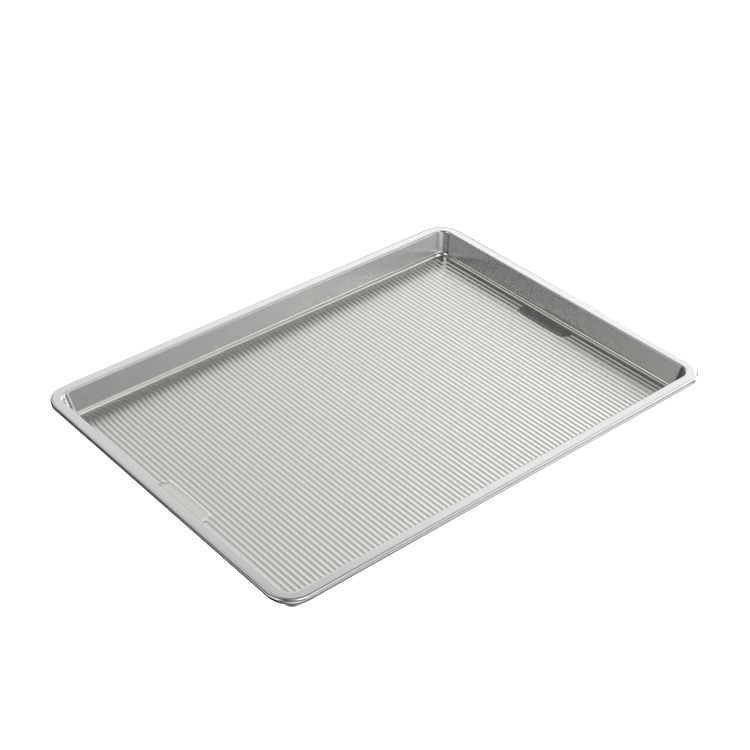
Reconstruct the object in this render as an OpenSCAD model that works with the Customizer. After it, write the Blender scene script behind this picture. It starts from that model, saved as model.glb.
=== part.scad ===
// Fluted sheet-steel jelly roll pan with a wired, rolled rim.
// Origin: centre of the footprint, on the surface that the pan stands on.
// X runs along the long side, Y along the short side and the flutes, Z up.

/* [Overall] */
// Overall length, over the rolled rim
pan_length = 457.2; // [300:0.1:600]
// Overall width, over the rolled rim
pan_width = 330.2; // [240:0.1:420]
// Overall height, from the underside to the top of the rim
pan_height = 23.2; // [17:0.1:50]
// Thickness of the steel sheet
sheet = 0.8; // [0.5:0.05:1.1]

/* [Rim] */
// Width of the flat flange, from the inner bend to the rolled edge
flange_width = 7.5; // [4.5:0.1:20]
// Radius of the bend from the flange down into the wall, on the top side
bend_radius = 1.8; // [1.4:0.1:4]
// Diameter of the wire in the rolled edge
wire_diameter = 2.8; // [1.6:0.1:4.5]
// Play between the wire and the curl of sheet around it
wire_play = 0.05; // [0.02:0.01:0.2]
// Angle through which the sheet is curled around the wire
curl_angle = 290; // [200:5:295]
// Gap where the two ends of the wire meet, on a long side
wire_joint = 0.8; // [0.4:0.1:4]

/* [Wall] */
// Outward slope of the walls, from upright
wall_draft = 13; // [2:0.5:20]
// Radius of the cove between wall and floor, on the inside
cove_radius = 4; // [2:0.1:6]

/* [Floor] */
// Corner radius of the floor, where the cove meets it
floor_corner = 3.9; // [3:0.1:30]
// Flat border between the cove and the flutes' ends, on the long sides
end_border = 0.85; // [0.6:0.05:10]
// Least flat border between the cove and the outermost flutes, on the short sides
side_border = 2.1; // [0.8:0.1:12]
// Distance from one flute to the next
flute_pitch = 4.7; // [3:0.05:12]
// Height of the flutes above the border
flute_height = 0.6; // [0.2:0.05:1]
// Flat strip left between two flutes
flute_gap = 0.8; // [0.2:0.05:1.5]
// Length over which a flute's end slopes down to the border
flute_runout = 1.5; // [0.5:0.1:2]
// Corner radius of the fluted field
field_corner = 11; // [5:0.5:25]

/* [Bare patches] */
// Length of the flat patch at the middle of each short side
patch_length = 60; // [24:1:160]
// Number of flutes that each patch interrupts
patch_flutes = 3; // [1:1:8]
// Corner radius of a patch, on its inner side
patch_corner = 10; // [2:0.5:14]

/* [Hidden] */
$fn = 96;

// Segments in one bend, in the curl and in one flute of the section outlines
bend_steps = 8;
curl_steps = 28;
flute_steps = 8;
// Width over which the wall section laps onto the floor plate
floor_lap = 0.4;
// Depth of the skirt below each flute, so that it cuts and joins cleanly
skirt = 0.2;

// Rolled edge: radii of the wire, of the curl's inside and of its outside
wire_radius = wire_diameter / 2;
curl_inner = wire_radius + wire_play;
curl_outer = curl_inner + sheet;

// Section of the wall, as insets from the outer edge of the rim
bend_inset = curl_outer + flange_width;
radii = bend_radius + cove_radius;
inner_depth = pan_height - sheet;
wall_rise = inner_depth - radii * (1 - sin(wall_draft));
floor_inset = bend_inset + radii * cos(wall_draft) + wall_rise * tan(wall_draft);

// Plan of the pan
rim_corner = floor_corner + floor_inset;
floor_length = pan_length - 2 * floor_inset;
floor_width = pan_width - 2 * floor_inset;

// Flutes: as many whole ones as the floor takes between its borders
flute_count = floor((floor_length - 2 * side_border) / flute_pitch);
flute_width = flute_pitch - flute_gap;
fluted_length = flute_count * flute_pitch;
fluted_width = floor_width - 2 * end_border;
end_slope = flute_runout / flute_height;

// Patches: reach from the floor's end to the last flute that they interrupt
patch_depth = (floor_length - fluted_length) / 2 + patch_flutes * flute_pitch;
patch_radius = min(patch_corner, patch_depth - skirt, patch_length / 2 - skirt);

// Points of an arc around [u, z], from one angle to another
function arc(u, z, radius, from, to, steps) = [
    for (i = [0 : steps])
        let (angle = from + (to - from) * i / steps)
        [u + radius * cos(angle), z + radius * sin(angle)]
];

// Side of the sheet that faces up in the pan, from the floor to the curl's end
function inner_side() = concat(
    [[floor_inset + floor_lap, sheet]],
    arc(floor_inset, sheet + cove_radius, cove_radius, 270, 180 + wall_draft, bend_steps),
    arc(bend_inset, pan_height - bend_radius, bend_radius, wall_draft, 90, bend_steps),
    arc(curl_outer, pan_height - curl_outer, curl_outer, 90, 90 + curl_angle, curl_steps)
);

// Side of the sheet that faces down, from the curl's end back to the floor
function outer_side() = concat(
    arc(curl_outer, pan_height - curl_outer, curl_inner, 90 + curl_angle, 90, curl_steps),
    arc(bend_inset, pan_height - bend_radius, bend_radius - sheet, 90, wall_draft, bend_steps),
    arc(floor_inset, sheet + cove_radius, cove_radius + sheet, 180 + wall_draft, 270, bend_steps),
    [[floor_inset + floor_lap, 0]]
);

// Turns insets from the rim's edge into distances from a corner's centre
function from_corner(points) = [for (p = points) [rim_corner - p[0], p[1]]];

// Carries a section around the four sides and the four corners of the rim
module around_rim() {
    for (side = [0 : 3]) {
        run = side % 2 == 0 ? pan_width : pan_length;
        span = side % 2 == 0 ? pan_length : pan_width;
        rotate(90 * side)
            translate([span / 2 - rim_corner, run / 2 - rim_corner, 0]) {
                rotate([90, 0, 0])
                    linear_extrude(run - 2 * rim_corner)
                        children();
                rotate_extrude(angle = 90)
                    children();
            }
    }
}

// Plate with rounded corners, standing on z = 0
module rounded_plate(length, width, corner, thickness) {
    linear_extrude(thickness)
        union() {
            square([length - 2 * corner, width], center = true);
            square([length, width - 2 * corner], center = true);
            for (x = [-1, 1], y = [-1, 1])
                translate([x * (length / 2 - corner), y * (width / 2 - corner)])
                    circle(corner);
        }
}

// Block with rounded corners whose sides pass z = 0 at the stated outline and
// lean inward by `lean` for each unit of height, or outward when it is negative
module leaning_block(length, width, corner, lean) {
    low = -skirt;
    high = flute_height + skirt;
    for (turned = [false, true]) {
        run = (turned ? width : length) - 2 * corner;
        half = (turned ? length : width) / 2;
        rotate(turned ? 90 : 0)
            translate([-run / 2, 0, 0])
                rotate([90, 0, 90])
                    linear_extrude(run)
                        polygon([
                            [-half + lean * low, low],
                            [half - lean * low, low],
                            [half - lean * high, high],
                            [-half + lean * high, high]
                        ]);
    }
    for (x = [-1, 1], y = [-1, 1])
        translate([x * (length / 2 - corner), y * (width / 2 - corner), low])
            cylinder(high - low, r1 = corner - lean * low, r2 = corner - lean * high);
}

// Section of one flute: a smooth crest on a skirt
function flute_section() = concat(
    [[-flute_width / 2, -skirt]],
    [
        for (i = [0 : flute_steps])
            [
                flute_width * (i / flute_steps - 1 / 2),
                flute_height * (1 - cos(360 * i / flute_steps)) / 2
            ]
    ],
    [[flute_width / 2, -skirt]]
);

// All flutes, with sloped ends at the border and around the bare patches
module flutes() {
    difference() {
        intersection() {
            for (i = [0 : flute_count - 1])
                translate([(i + 1 / 2) * flute_pitch - fluted_length / 2, fluted_width / 2, 0])
                    rotate([90, 0, 0])
                        linear_extrude(fluted_width)
                            polygon(flute_section());
            leaning_block(fluted_length, fluted_width, field_corner, end_slope);
        }
        for (x = [-1, 1])
            translate([x * floor_length / 2, 0, 0])
                leaning_block(2 * patch_depth, patch_length, patch_radius, -end_slope);
    }
}

// Floor: a flat sheet with each flute raised on top and hollow underneath
module fluted_floor() {
    difference() {
        union() {
            rounded_plate(floor_length, floor_width, floor_corner, sheet);
            translate([0, 0, sheet])
                flutes();
        }
        flutes();
    }
}

// The pan itself, pressed from one sheet, its edge curled around the wire
module pan_shell() {
    color([0.78, 0.79, 0.78])
        union() {
            around_rim()
                polygon(from_corner(concat(inner_side(), outer_side())));
            fluted_floor();
        }
}

// Wire that stiffens the rim, bent to a closed frame with its ends butted
module rim_wire() {
    color([0.55, 0.56, 0.58])
        difference() {
            around_rim()
                translate([rim_corner - curl_outer, pan_height - curl_outer])
                    circle(wire_radius);
            translate([0, pan_width / 2 - curl_outer, pan_height - curl_outer])
                cube([wire_joint, 2 * wire_diameter, 2 * wire_diameter], center = true);
        }
}

pan_shell();
rim_wire();
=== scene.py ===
# Dresses the fluted jelly roll pan and sets it in a pale studio.
import math
import bmesh
import bpy
from mathutils import Matrix, Vector


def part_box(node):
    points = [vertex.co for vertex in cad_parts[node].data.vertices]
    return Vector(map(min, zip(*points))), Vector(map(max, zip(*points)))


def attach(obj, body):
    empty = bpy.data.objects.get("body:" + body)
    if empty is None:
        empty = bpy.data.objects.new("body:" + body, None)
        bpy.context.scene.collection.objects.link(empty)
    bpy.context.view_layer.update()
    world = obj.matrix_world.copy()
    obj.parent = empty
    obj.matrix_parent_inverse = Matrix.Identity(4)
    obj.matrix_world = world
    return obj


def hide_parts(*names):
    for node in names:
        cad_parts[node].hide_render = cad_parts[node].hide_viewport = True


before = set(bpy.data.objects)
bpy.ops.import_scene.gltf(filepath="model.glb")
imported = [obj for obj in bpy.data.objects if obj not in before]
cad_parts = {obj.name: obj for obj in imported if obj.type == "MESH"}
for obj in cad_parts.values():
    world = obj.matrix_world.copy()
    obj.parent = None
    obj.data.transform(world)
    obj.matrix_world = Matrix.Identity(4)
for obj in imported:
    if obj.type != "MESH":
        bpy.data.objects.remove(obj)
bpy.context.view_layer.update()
rimLow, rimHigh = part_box("pan_shell")
panLength = rimHigh[0] - rimLow[0]
panWidth = rimHigh[1] - rimLow[1]
panHeight = rimHigh[2] - rimLow[2]
print("pan: %.4f x %.4f x %.4f m" % (panLength, panWidth, panHeight))

# Pan shell: one sheet, from the curl around the wire down to the fluted floor (metres)
panShell = {
    "sheet": 0.0008,
    "curlRadius": 0.00225,
    "curlAngle": 290,
    "beadDrop": 0.0003,
    "shoulderWidth": 0.00125,
    "flangeWidth": 0.0075,
    "bendRadius": 0.0018,
    "wallDraft": 13,
    "coveRadius": 0.004,
    "rimCorner": 0.0234,
    "bendCorner": 0.0115,
    "floorCorner": 0.0080,
    "supportRow": 0.0003,
    "seamTolerance": 0.0001,
    "mergeDistance": 0.000001,
    "arcSteps": 12,
    "curlSteps": 32,
    "shoulderSteps": 6,
    "cornerSteps": 20,
}
# Flutes and the two bare patches of the floor
panFlutes = {
    "pitch": 0.0047,
    "gap": 0.0020,
    "height": 0.0005,
    "sideBorder": 0.0021,
    "endBorder": 0.00085,
    "corner": 0.011,
    "runout": 0.0015,
    "stepsPerFlute": 10,
    "patchLength": 0.060,
    "patchFlutes": 3,
    "patchCorner": 0.010,
    "lip": 0.00022,
    "lipInside": 0.0034,
    "lipOutside": 0.0010,
    "sideLip": 0.35,
    "seamMargin": 0.0004,
    "keptMargin": 0.00036,
    "runoutRows": 5,
    "borderRow": 0.0021,
    "borderRows": 4,
    "patchEndRow": 0.0006,
    "patchEndRows": 6,
    "dishStart": 0.0024,
    "dishRow": 0.0020,
    "dishRows": 3,
}


def arcPoints(inset, height, radius, start, end, steps):
    points = []
    for i in range(steps + 1):
        angle = math.radians(start + (end - start) * i / steps)
        points.append((inset + radius * math.cos(angle), height + radius * math.sin(angle)))
    return points


def floorInset(s):
    draft = math.radians(s["wallDraft"])
    radii = s["bendRadius"] + s["coveRadius"]
    rise = panHeight - s["sheet"] - radii * (1 - math.sin(draft))
    return s["curlRadius"] + s["flangeWidth"] + radii * math.cos(draft) + rise * math.tan(draft)


def sheetSection(s):
    # top side of the sheet as (inset from the rim, height), from the floor to the curl's end
    bendInset = s["curlRadius"] + s["flangeWidth"]
    cove = arcPoints(floorInset(s), s["sheet"] + s["coveRadius"], s["coveRadius"],
                     270, 180 + s["wallDraft"], s["arcSteps"])
    bend = arcPoints(bendInset, panHeight - s["bendRadius"], s["bendRadius"],
                     s["wallDraft"], 90, s["arcSteps"])
    # the flange rolls over a wide shoulder into the bead, which hangs a little below it
    drop = s["beadDrop"]
    spare = (s["shoulderWidth"] ** 2 + drop ** 2) / (2 * drop)
    turn = math.degrees(math.asin(s["shoulderWidth"] / spare))
    radius = spare + s["curlRadius"]
    shoulder = arcPoints(s["curlRadius"] + s["shoulderWidth"], panHeight - radius, radius,
                         90, 90 + turn, s["shoulderSteps"])
    curl = arcPoints(s["curlRadius"], panHeight - drop - s["curlRadius"], s["curlRadius"],
                     90 + turn, 90 + s["curlAngle"], s["curlSteps"])
    # rows close to the bends keep the flange and the wall flat up to them
    draft = math.radians(s["wallDraft"])
    close = s["supportRow"]
    lean = (close * math.sin(draft), close * math.cos(draft))
    low = (cove[-1][0] - lean[0], cove[-1][1] + lean[1])
    high = (bend[0][0] + lean[0], bend[0][1] - lean[1])
    inner = (bendInset - close, panHeight)
    outer = (shoulder[0][0] + close, panHeight)
    return cove + [low, high] + bend + [inner, outer] + shoulder + curl[1:]


def insideBy(x, y, length, width, corner):
    # how far a point lies inside a rounded rectangle, negative when outside
    px = abs(x) - (length / 2 - corner)
    py = abs(y) - (width / 2 - corner)
    return corner - math.hypot(max(px, 0), max(py, 0)) - min(max(px, py), 0)


def ease(value):
    t = min(max(value, 0), 1)
    return t * t * (3 - 2 * t)


def spreadRows(f, half):
    # places along Y at which the floor needs a row: its ends and the patches' ends
    runoutRows = f["runoutRows"]
    ends = [0] + [f["endBorder"] + f["runout"] * k / runoutRows for k in range(runoutRows + 1)]
    ends += [f["endBorder"] + f["runout"] + f["borderRow"] * k for k in range(1, f["borderRows"] + 1)]
    rows = [half - d for d in ends]
    patchEnd = f["patchLength"] / 2
    rows += [patchEnd + f["runout"] - f["patchEndRow"] * k for k in range(f["patchEndRows"])]
    rows += [patchEnd - f["dishStart"] - f["dishRow"] * k for k in range(f["dishRows"])]
    return sorted(rows + [-r for r in rows] + [0])


def patchLip(f, inPatch, along):
    # each patch is dished: it rises gently to its edge, most at its two ends, and drops outside
    toEnd = ease(1 + (along - f["patchLength"] / 2) / f["patchCorner"])
    lip = f["lip"] * (f["sideLip"] + (1 - f["sideLip"]) * toEnd)
    if inPatch > 0:
        return lip * max(1 - inPatch / f["lipInside"], 0) ** 2
    return lip * ease(1 + inPatch / f["lipOutside"])


def addFloor(bm, s, f):
    length = panLength - 2 * floorInset(s)
    width = panWidth - 2 * floorInset(s)
    count = int((length - 2 * f["sideBorder"]) / f["pitch"])
    flutedLength = count * f["pitch"]
    flutedWidth = width - 2 * f["endBorder"]
    steps = count * f["stepsPerFlute"]
    margin = f["seamMargin"]
    grid = bmesh.ops.create_grid(bm, x_segments=steps, y_segments=1, size=0.5)
    bmesh.ops.scale(bm, vec=(flutedLength, width - 2 * margin, 1), verts=grid["verts"])
    patchInner = flutedLength / 2 - f["patchFlutes"] * f["pitch"]
    patchDepth = length / 2 - patchInner
    for y in spreadRows(f, width / 2 - margin)[1:-1]:
        bmesh.ops.bisect_plane(bm, geom=bm.verts[:] + bm.edges[:] + bm.faces[:],
                               plane_co=(0, y, 0), plane_no=(0, 1, 0))
    outside = [v for v in bm.verts
               if insideBy(v.co.x, v.co.y, length, width, s["floorCorner"]) < f["keptMargin"]]
    bmesh.ops.delete(bm, geom=outside, context="VERTS")
    half = (f["pitch"] - f["gap"]) / 2
    for v in bm.verts:
        across = (v.co.x + flutedLength / 2) % f["pitch"] - f["pitch"] / 2
        crest = 0.5 + 0.5 * math.cos(math.pi * min(abs(across) / half, 1))
        inField = insideBy(v.co.x, v.co.y, flutedLength, flutedWidth, f["corner"])
        patchX = abs(v.co.x) - length / 2
        inPatch = insideBy(patchX, v.co.y, 2 * patchDepth, f["patchLength"], f["patchCorner"])
        kept = ease(inField / f["runout"]) * ease(-inPatch / f["runout"])
        fromEnd = flutedLength / 2 - abs(v.co.x)
        lip = patchLip(f, inPatch, abs(v.co.y)) * ease(fromEnd / f["lipOutside"])
        v.co.z = s["sheet"] + f["height"] * crest * kept + lip


def cornerRadius(s, inset):
    # the rim's corners are wide, those of the bend, the wall and the floor are tight
    bendInset = s["curlRadius"] + s["flangeWidth"]
    flangeStart = s["curlRadius"] + s["shoulderWidth"] + s["supportRow"]
    if inset < bendInset:
        wide = s["rimCorner"] - inset
        tight = s["bendCorner"] + bendInset - inset
        return wide + (tight - wide) * max((inset - flangeStart) / (bendInset - flangeStart), 0)
    down = (inset - bendInset) / (floorInset(s) - bendInset)
    return s["bendCorner"] + (s["floorCorner"] - s["bendCorner"]) * down


def drawOut(bm, ends):
    # draws the corner's two ends out to the middles of the sides
    for edges, axis in ends:
        grown = bmesh.ops.extrude_edge_only(bm, edges=edges)
        for v in (g for g in grown["geom"] if isinstance(g, bmesh.types.BMVert)):
            v.co[axis] = 0


def mirrorTwice(bm, mergeDistance):
    for axis in "XY":
        quarter = bm.verts[:] + bm.edges[:] + bm.faces[:]
        bmesh.ops.mirror(bm, geom=quarter, axis=axis, merge_dist=mergeDistance)


def addRim(bm, s):
    # one corner is spun, its ends are drawn out to the middles of the sides, then mirrored
    section = sheetSection(s)
    corner = s["rimCorner"]
    centre = Vector((panLength / 2 - corner, panWidth / 2 - corner, 0))
    line = [bm.verts.new(centre + Vector((corner - inset, 0, z))) for inset, z in section]
    edges = [bm.edges.new(pair) for pair in zip(line, line[1:])]
    spun = bmesh.ops.spin(bm, geom=line + edges, cent=centre, axis=(0, 0, 1),
                          angle=math.radians(90), steps=s["cornerSteps"])
    for v in bm.verts:
        reach = v.co - centre
        reach.z = 0
        inset = corner - reach.length
        radius = cornerRadius(s, inset)
        tuck = corner - inset - radius
        v.co += reach.normalized() * (radius - reach.length) + Vector((tuck, tuck, 0))
    last = [g for g in spun["geom_last"] if isinstance(g, bmesh.types.BMEdge)]
    drawOut(bm, ((edges, 1), (last, 0)))
    mirrorTwice(bm, s["mergeDistance"])


def makeShell(s, f):
    rim = bmesh.new()
    addRim(rim, s)
    rimMesh = bpy.data.meshes.new("rimPart")
    rim.to_mesh(rimMesh)
    rim.free()
    bm = bmesh.new()
    addFloor(bm, s, f)
    bm.from_mesh(rimMesh)
    bpy.data.meshes.remove(rimMesh)
    footHeight = s["sheet"] + s["seamTolerance"]
    seam = [e for e in bm.edges if e.is_boundary and all(v.co.z < footHeight for v in e.verts)]
    bmesh.ops.triangle_fill(bm, use_beauty=True, use_dissolve=False, edges=seam)
    bmesh.ops.recalc_face_normals(bm, faces=bm.faces[:])
    centreFace = min(bm.faces, key=lambda face: face.calc_center_median().length)
    if centreFace.normal.z < 0:
        bmesh.ops.reverse_faces(bm, faces=bm.faces[:])
    for face in bm.faces:
        face.smooth = True
    mesh = bpy.data.meshes.new("pan")
    bm.to_mesh(mesh)
    print("pan sheet: %d faces, %d open edges" % (len(bm.faces), sum(e.is_boundary for e in bm.edges)))
    bm.free()
    pan = bpy.data.objects.new("pan", mesh)
    bpy.context.collection.objects.link(pan)
    wall = pan.modifiers.new("sheet", "SOLIDIFY")
    wall.thickness = s["sheet"]
    wall.offset = -1
    # an even offset can throw spikes off slivers at the floor's edge
    wall.use_even_offset = False
    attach(pan, "root")
    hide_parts("pan_shell")
    return pan


# Coated sheet: neutral on the rim and the walls, a touch warmer and greener on the baking floor
sheetFinish = {
    "wallDark": (0.680, 0.682, 0.683, 1),
    "wallLight": (0.720, 0.722, 0.723, 1),
    "floorDark": (0.685, 0.691, 0.654, 1),
    "floorLight": (0.729, 0.735, 0.698, 1),
    "floorTop": 0.0020,
    "wallStart": 0.0060,
    "grainScale": 1500,
    "grainDetail": 2,
    "blotchScale": 140,
    "blotchDetail": 3,
    "noiseSpan": (0.3, 0.7),
    "roughness": (0.18, 0.23),
    "grainHeight": 0.0000008,
}


def addNoise(tree, coords, scale, detail):
    noise = tree.nodes.new("ShaderNodeTexNoise")
    noise.inputs["Scale"].default_value = scale
    noise.inputs["Detail"].default_value = detail
    tree.links.new(coords.outputs["Object"], noise.inputs["Vector"])
    return noise.outputs["Fac"]


def addRange(tree, value, fromMin, fromMax, toMin, toMax):
    span = tree.nodes.new("ShaderNodeMapRange")
    for name, number in (("From Min", fromMin), ("From Max", fromMax), ("To Min", toMin), ("To Max", toMax)):
        span.inputs[name].default_value = number
    tree.links.new(value, span.inputs["Value"])
    return span.outputs["Result"]


def addBlend(tree, factor, first, second):
    blend = tree.nodes.new("ShaderNodeMix")
    blend.data_type = "RGBA"
    tree.links.new(factor, blend.inputs["Factor"])
    for name, value in (("A", first), ("B", second)):
        if isinstance(value, bpy.types.NodeSocket):
            tree.links.new(value, blend.inputs[name])
        else:
            blend.inputs[name].default_value = value
    return blend.outputs["Result"]


def coatedSheet(f):
    mat = bpy.data.materials.new("coatedSheet")
    mat.use_nodes = True
    tree = mat.node_tree
    shader = tree.nodes["Principled BSDF"]
    shader.inputs["Metallic"].default_value = 1.0
    coords = tree.nodes.new("ShaderNodeTexCoord")
    grain = addNoise(tree, coords, f["grainScale"], f["grainDetail"])
    blotch = addNoise(tree, coords, f["blotchScale"], f["blotchDetail"])
    place = tree.nodes.new("ShaderNodeSeparateXYZ")
    tree.links.new(coords.outputs["Object"], place.inputs["Vector"])
    onWall = addRange(tree, place.outputs["Z"], f["floorTop"], f["wallStart"], 0, 1)
    wallTone = addBlend(tree, grain, f["wallDark"], f["wallLight"])
    floorTone = addBlend(tree, grain, f["floorDark"], f["floorLight"])
    tree.links.new(addBlend(tree, onWall, floorTone, wallTone), shader.inputs["Base Color"])
    gloss = addRange(tree, blotch, *f["noiseSpan"], *f["roughness"])
    tree.links.new(gloss, shader.inputs["Roughness"])
    bump = tree.nodes.new("ShaderNodeBump")
    bump.inputs["Strength"].default_value = 1.0
    bump.inputs["Distance"].default_value = f["grainHeight"]
    tree.links.new(grain, bump.inputs["Height"])
    tree.links.new(bump.outputs["Normal"], shader.inputs["Normal"])
    return mat


# Drawn wire: bare steel, duller and darker than the sheet
wireFinish = {
    "dark": (0.46, 0.46, 0.48, 1),
    "light": (0.56, 0.56, 0.57, 1),
    "grainScale": 900,
    "grainDetail": 2,
    "noiseSpan": (0.3, 0.7),
    "roughness": (0.35, 0.5),
}


def drawnWire(f):
    mat = bpy.data.materials.new("drawnWire")
    mat.use_nodes = True
    tree = mat.node_tree
    shader = tree.nodes["Principled BSDF"]
    shader.inputs["Metallic"].default_value = 1.0
    coords = tree.nodes.new("ShaderNodeTexCoord")
    grain = addNoise(tree, coords, f["grainScale"], f["grainDetail"])
    tree.links.new(addRange(tree, grain, *f["noiseSpan"], *f["roughness"]), shader.inputs["Roughness"])
    tone = addBlend(tree, grain, f["dark"], f["light"])
    tree.links.new(tone, shader.inputs["Base Color"])
    return mat


# Rim wire: runs in the curl, its two ends butted at the middle of the far long side
rimWire = {
    "radius": 0.0014,
    "joint": 0.0008,
    "sides": 24,
    "cornerSteps": 20,
}


def makeWire(w, s):
    bm = bmesh.new()
    corner = s["rimCorner"]
    centre = Vector((panLength / 2 - corner, panWidth / 2 - corner, 0))
    middle = Vector((corner - s["curlRadius"], 0, panHeight - s["beadDrop"] - s["curlRadius"]))
    ring = bmesh.ops.create_circle(bm, segments=w["sides"], radius=w["radius"],
                                   matrix=Matrix.Rotation(math.radians(90), 4, "X"))["verts"]
    bmesh.ops.translate(bm, verts=ring, vec=centre + middle)
    first = bm.edges[:]
    spun = bmesh.ops.spin(bm, geom=ring + first, cent=centre, axis=(0, 0, 1),
                          angle=math.radians(90), steps=w["cornerSteps"])
    last = [g for g in spun["geom_last"] if isinstance(g, bmesh.types.BMEdge)]
    drawOut(bm, ((first, 1), (last, 0)))
    mirrorTwice(bm, s["mergeDistance"])
    half = w["joint"] / 2
    for x in (-half, half):
        bmesh.ops.bisect_plane(bm, geom=bm.verts[:] + bm.edges[:] + bm.faces[:],
                               plane_co=(x, 0, 0), plane_no=(1, 0, 0))
    gone = [f for f in bm.faces if abs(f.calc_center_median().x) < half and f.calc_center_median().y > 0]
    bmesh.ops.delete(bm, geom=gone, context="FACES")
    bmesh.ops.delete(bm, geom=[v for v in bm.verts if not v.link_faces], context="VERTS")
    bmesh.ops.holes_fill(bm, edges=[e for e in bm.edges if e.is_boundary], sides=0)
    bmesh.ops.recalc_face_normals(bm, faces=bm.faces[:])
    for face in bm.faces:
        face.smooth = len(face.verts) == 4
    mesh = bpy.data.meshes.new("rimWire")
    bm.to_mesh(mesh)
    print("rim wire: %d faces, %d open edges" % (len(bm.faces), sum(e.is_boundary for e in bm.edges)))
    bm.free()
    wire = bpy.data.objects.new("rimWire", mesh)
    bpy.context.collection.objects.link(wire)
    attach(wire, "root")
    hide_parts("rim_wire")
    return wire


pan = makeShell(panShell, panFlutes)
pan.data.materials.append(coatedSheet(sheetFinish))
wire = makeWire(rimWire, panShell)
wire.data.materials.append(drawnWire(wireFinish))
print("pan shell and wire are dressed")

# Studio: pale paper and round soft lights; azimuth runs from the pan's far side (+Y) towards +X.
# A least-squares fit to the photograph's brightness gave the lights, which were then rounded.
studio = {
    "floorSize": 30,
    "paperColour": (0.9, 0.9, 0.9, 1),
    "paperRoughness": 0.9,
    "paperGlow": 1.0,
    "glowColour": (1, 1, 1, 1),
    "backdropColour": (1, 1, 1, 1),
    "lights": {
        # name: (azimuth, elevation, half width in degrees, strength)
        "keyBox": (67, 20, 8, 5.4),
        "keyHalo": (48, 35, 8.5, 1.05),
        "fillFar": (26, 23, 17, 1.2),
        "topSpotFar": (4, 54, 11.5, 0.8),
        "stripLeft": (300, 31, 8, 2.4),
        "topSpotLeft": (279, 46, 8, 3.4),
        "overheadLeft": (288, 64, 8, 1.0),
        "fillFront": (202, 10, 28, 1.2),
        "topSpotRight": (152, 38, 8, 1.85),
        "lowFillRight": (140, 6, 8, 3.8),
        "lowStripRight": (103, 7, 8, 8.1),
        "topStripRight": (90, 45, 13, 1.8),
        "overheadRight": (107, 74, 8, 3.2),
        "paperBounceFar": (345, -25, 14.5, 6.3),
        "paperBounceRight": (100, -52, 21.5, 1.15),
        "paperBounceUnder": (0, -58, 12, 7.0),
    },
}


def lightDirection(azimuth, elevation):
    a = math.radians(azimuth)
    e = math.radians(elevation)
    return Vector((math.sin(a) * math.cos(e), math.cos(a) * math.cos(e), math.sin(e)))


def addMath(tree, operation, first, second):
    # joins one sum onto a node tree; either side may be a socket or a number
    node = tree.nodes.new("ShaderNodeMath")
    node.operation = operation
    for socket, value in zip(node.inputs, (first, second)):
        if isinstance(value, bpy.types.NodeSocket):
            tree.links.new(value, socket)
        else:
            socket.default_value = value
    return node.outputs[0]


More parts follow.
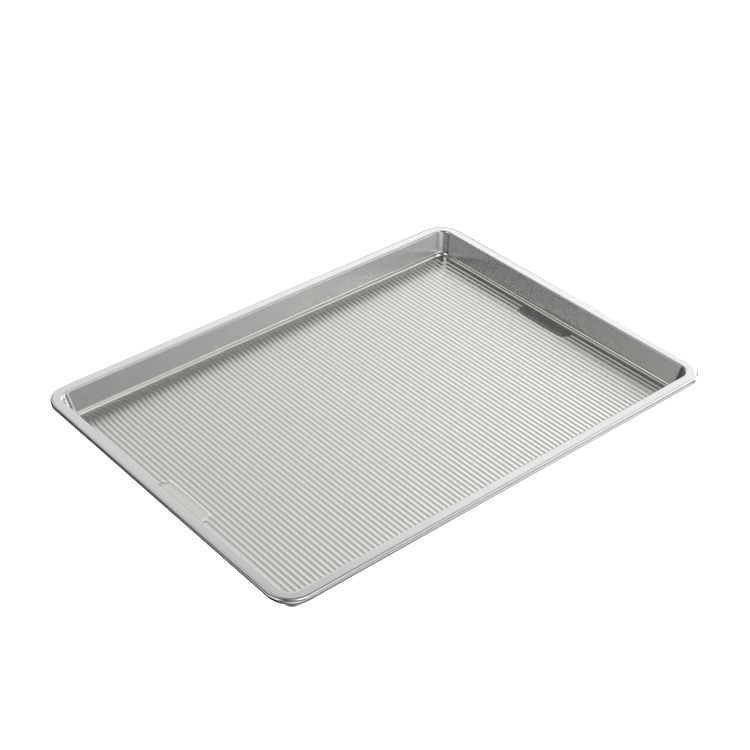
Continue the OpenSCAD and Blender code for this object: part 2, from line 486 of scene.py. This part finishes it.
def makeSky(s):
    # each light is a round glow on the sky that fades evenly from its middle
    world = bpy.data.worlds.new("studio")
    bpy.context.scene.world = world
    world.use_nodes = True
    tree = world.node_tree
    coords = tree.nodes.new("ShaderNodeTexCoord")
    total = 0.0
    for name, (azimuth, elevation, halfWidth, strength) in s["lights"].items():
        aim = tree.nodes.new("ShaderNodeVectorMath")
        aim.operation = "DOT_PRODUCT"
        aim.label = name
        aim.inputs[1].default_value = lightDirection(azimuth, elevation)
        tree.links.new(coords.outputs["Generated"], aim.inputs[0])
        focus = math.log(2) / (1 - math.cos(math.radians(halfWidth)))
        off = addMath(tree, "SUBTRACT", aim.outputs["Value"], 1.0)
        glow = addMath(tree, "EXPONENT", addMath(tree, "MULTIPLY", off, focus), 0.0)
        total = addMath(tree, "ADD", addMath(tree, "MULTIPLY", glow, strength), total)
    sky = tree.nodes["Background"]
    sky.inputs["Color"].default_value = s["glowColour"]
    tree.links.new(total, sky.inputs["Strength"])
    # the camera sees a white backdrop in place of the glows
    backdrop = tree.nodes.new("ShaderNodeBackground")
    backdrop.inputs["Color"].default_value = s["backdropColour"]
    seen = tree.nodes.new("ShaderNodeLightPath")
    choice = tree.nodes.new("ShaderNodeMixShader")
    tree.links.new(seen.outputs["Is Camera Ray"], choice.inputs["Fac"])
    tree.links.new(sky.outputs["Background"], choice.inputs[1])
    tree.links.new(backdrop.outputs["Background"], choice.inputs[2])
    tree.links.new(choice.outputs["Shader"], tree.nodes["World Output"].inputs["Surface"])


def makeStudio(s):
    mesh = bpy.data.meshes.new("studioFloor")
    bm = bmesh.new()
    bmesh.ops.create_grid(bm, x_segments=1, y_segments=1, size=s["floorSize"] / 2)
    bm.to_mesh(mesh)
    bm.free()
    floor = bpy.data.objects.new("studioFloor", mesh)
    bpy.context.collection.objects.link(floor)
    mat = bpy.data.materials.new("palePaper")
    mat.use_nodes = True
    shader = mat.node_tree.nodes["Principled BSDF"]
    shader.inputs["Base Color"].default_value = s["paperColour"]
    shader.inputs["Roughness"].default_value = s["paperRoughness"]
    shader.inputs["Emission Color"].default_value = s["glowColour"]
    shader.inputs["Emission Strength"].default_value = s["paperGlow"]
    mesh.materials.append(mat)
    # the pan takes no light, shade or reflection from the paper; three low glows stand in for it
    floor.visible_glossy = False
    floor.visible_diffuse = False
    floor.visible_shadow = False
    makeSky(s)


# Camera: found by matching the rim's outline in the photograph (metres, degrees, millimetres)
photoCamera = {
    "target": (-0.0332, 0.0427, 0.0232),
    "azimuth": -39.15,
    "elevation": 35.36,
    "distance": 1.345,
    "lens": 76.56,
    "sensor": 36,
    "shift": 0.0803,
}


def makeCamera(c):
    azimuth = math.radians(c["azimuth"])
    elevation = math.radians(c["elevation"])
    back = Vector((math.sin(azimuth) * math.cos(elevation),
                   -math.cos(azimuth) * math.cos(elevation),
                   math.sin(elevation)))
    data = bpy.data.cameras.new("photoCamera")
    data.lens = c["lens"]
    data.sensor_width = c["sensor"]
    data.shift_x = c["shift"]
    camera = bpy.data.objects.new("photoCamera", data)
    camera.location = Vector(c["target"]) + back * c["distance"]
    camera.rotation_euler = back.to_track_quat("Z", "Y").to_euler()
    bpy.context.collection.objects.link(camera)
    bpy.context.scene.camera = camera


makeStudio(studio)
makeCamera(photoCamera)
bpy.context.scene.view_settings.view_transform = "Standard"
print("studio and camera are set")
